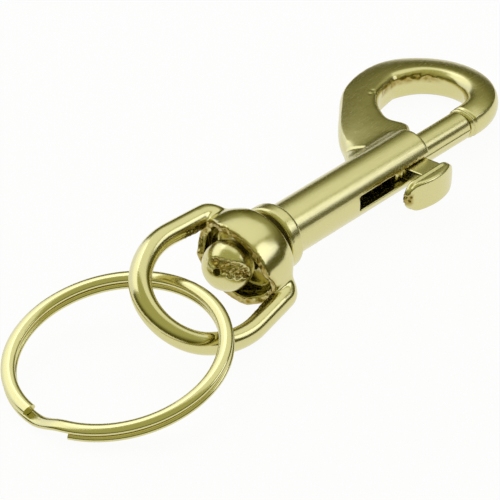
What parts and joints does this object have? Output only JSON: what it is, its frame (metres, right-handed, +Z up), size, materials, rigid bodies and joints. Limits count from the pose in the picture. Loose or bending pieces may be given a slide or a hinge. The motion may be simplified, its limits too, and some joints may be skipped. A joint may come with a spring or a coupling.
{
  "type": "bolt snap",
  "caption": "Swivel bolt snap: a hook on a round barrel, closed by a sprung sliding bolt with a thumb button, with a swivel eye and a split ring.",
  "frame": {"origin": "middle of the bounding box in plan, on the table", "axes": "+X towards the hook along the laid barrel, +Y towards the hook's back, +Z up from the table"},
  "size_m": [0.1012, 0.0334, 0.0128],
  "materials": {
    "plated_zinc_body": "pale gold plating, satin brushed on the hook and barrel, bright at the edges",
    "plated_zinc_bolt": "pale gold plating, bright",
    "spring_steel": "plain wire",
    "plated_zinc_eye": "pale gold plating, bright, rough and brown in the hub's hollow",
    "plated_ring_wire": "pale gold plating, bright"
  },
  "bodies": {
    "body": {"hook_body": "plated_zinc_body", "bolt_spring": "spring_steel"},
    "bolt": {"bolt": "plated_zinc_bolt"},
    "eye": {"swivel_eye": "plated_zinc_eye"},
    "ring": {"split_ring": "plated_ring_wire"}
  },
  "joints": [
    {"name": "bolt_slide", "type": "slide", "parent": "body", "child": "bolt", "axis": [-0.9975, 0, 0.0708], "range_m": [0, 0.0106], "stiffness_N_per_m": 150, "springref_m": -0.004, "deforming": ["bolt_spring"]},
    {"name": "swivel_turn", "type": "hinge", "parent": "body", "child": "eye", "pos_m": [-0.00908, -0.00275, 0.00628], "axis": [0.9975, 0, -0.0708], "continuous": true},
    {"name": "ring_swing", "type": "hinge", "parent": "eye", "child": "ring", "pos_m": [-0.02759, 0.00106, 0.01006], "axis": [-0.745, -0.582, -0.3261], "range_deg": [0, 88]}
  ]
}
